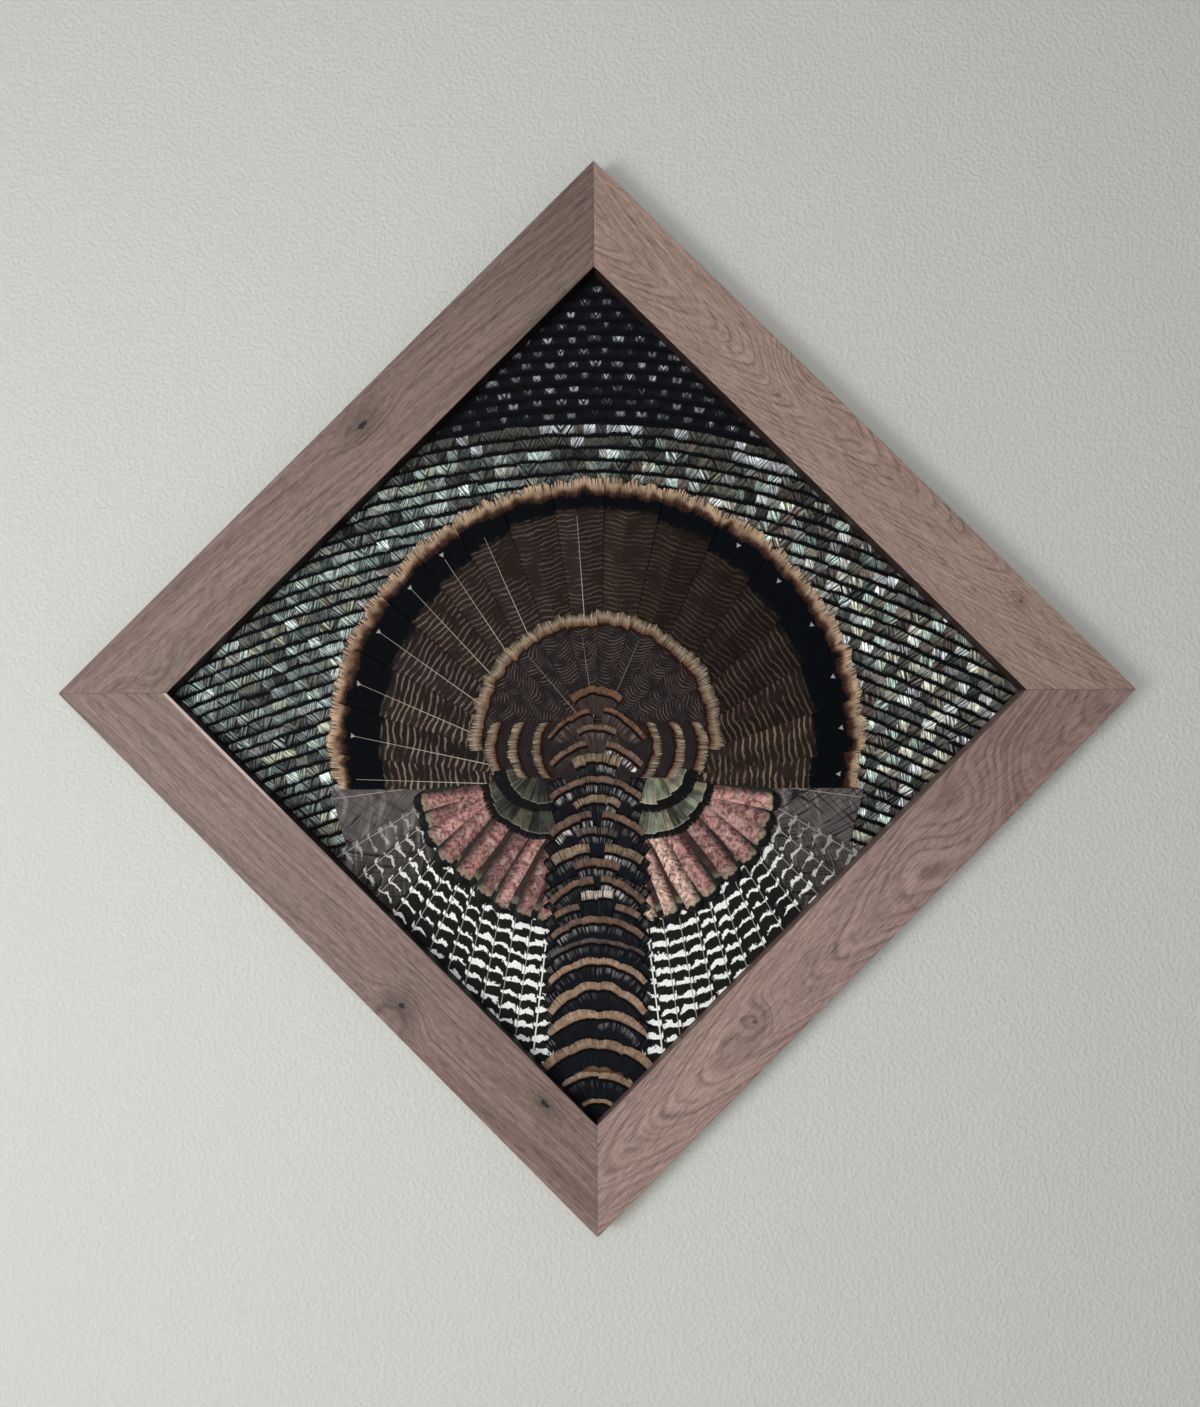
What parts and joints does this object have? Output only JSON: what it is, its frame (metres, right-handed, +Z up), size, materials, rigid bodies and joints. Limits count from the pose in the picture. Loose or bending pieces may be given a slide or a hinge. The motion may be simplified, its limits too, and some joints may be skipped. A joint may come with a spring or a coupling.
{
  "type": "framed turkey feather mosaic",
  "caption": "Square walnut frame hung as a diamond, filled with turkey feathers: tail fan, coverts, barred wing feathers and rows of body feathers.",
  "frame": {"origin": "centre of the flat back, which lies on the wall; the picture's centre is straight in front of it", "axes": "+Z up with the square standing on one corner, +Y into the wall, so the feathers face -Y; +X is the picture's right"},
  "size_m": [1.2928, 0.038, 1.2928],
  "materials": {
    "walnut": "satin oiled walnut with straight grain and small knots",
    "board": "plain plywood",
    "body_feathers": "iridescent bronze green body feathers with black edges",
    "tail_feathers": "dark brown vanes with fine wavy bars, a black band and a buff tip",
    "tail_coverts": "dark brown vanes with fine bars and a pale gold fringe",
    "wing_feathers": "black vanes with ragged white bars and thin white shafts",
    "copper_coverts": "mottled copper pink vanes with grey green and black tips",
    "green_feathers": "iridescent green vanes with black edges",
    "rump_feathers": "blue black vanes with brown tip bands"
  },
  "bodies": {
    "root": {"backing_board": "board", "body_feathers": "body_feathers", "copper_covert_left_1": "copper_coverts", "copper_covert_left_2": "copper_coverts", "copper_covert_left_3": "copper_coverts", "copper_covert_left_4": "copper_coverts", "copper_covert_left_5": "copper_coverts", "copper_covert_left_6": "copper_coverts", "copper_covert_left_7": "copper_coverts", "copper_covert_left_8": "copper_coverts", "copper_covert_left_9": "copper_coverts", "copper_covert_right_1": "copper_coverts", "copper_covert_right_2": "copper_coverts", "copper_covert_right_3": "copper_coverts", "copper_covert_right_4": "copper_coverts", "copper_covert_right_5": "copper_coverts", "copper_covert_right_6": "copper_coverts", "copper_covert_right_7": "copper_coverts", "copper_covert_right_8": "copper_coverts", "copper_covert_right_9": "copper_coverts", "green_feathers_left": "green_feathers", "green_feathers_right": "green_feathers", "rail_lower_left": "walnut", "rail_lower_right": "walnut", "rail_upper_left": "walnut", "rail_upper_right": "walnut", "rump_feathers": "rump_feathers", "tail_covert_01": "tail_coverts", "tail_covert_02": "tail_coverts", "tail_covert_03": "tail_coverts", "tail_covert_04": "tail_coverts", "tail_covert_05": "tail_coverts", "tail_covert_06": "tail_coverts", "tail_covert_07": "tail_coverts", "tail_covert_08": "tail_coverts", "tail_covert_09": "tail_coverts", "tail_covert_10": "tail_coverts", "tail_covert_11": "tail_coverts", "tail_covert_12": "tail_coverts", "tail_feather_01": "tail_feathers", "tail_feather_02": "tail_feathers", "tail_feather_03": "tail_feathers", "tail_feather_04": "tail_feathers", "tail_feather_05": "tail_feathers", "tail_feather_06": "tail_feathers", "tail_feather_07": "tail_feathers", "tail_feather_08": "tail_feathers", "tail_feather_09": "tail_feathers", "tail_feather_10": "tail_feathers", "tail_feather_11": "tail_feathers", "tail_feather_12": "tail_feathers", "tail_feather_13": "tail_feathers", "tail_feather_14": "tail_feathers", "tail_feather_15": "tail_feathers", "tail_feather_16": "tail_feathers", "tail_feather_17": "tail_feathers", "wing_feathers_left": "wing_feathers", "wing_feathers_right": "wing_feathers"}
  },
  "joints": []
}
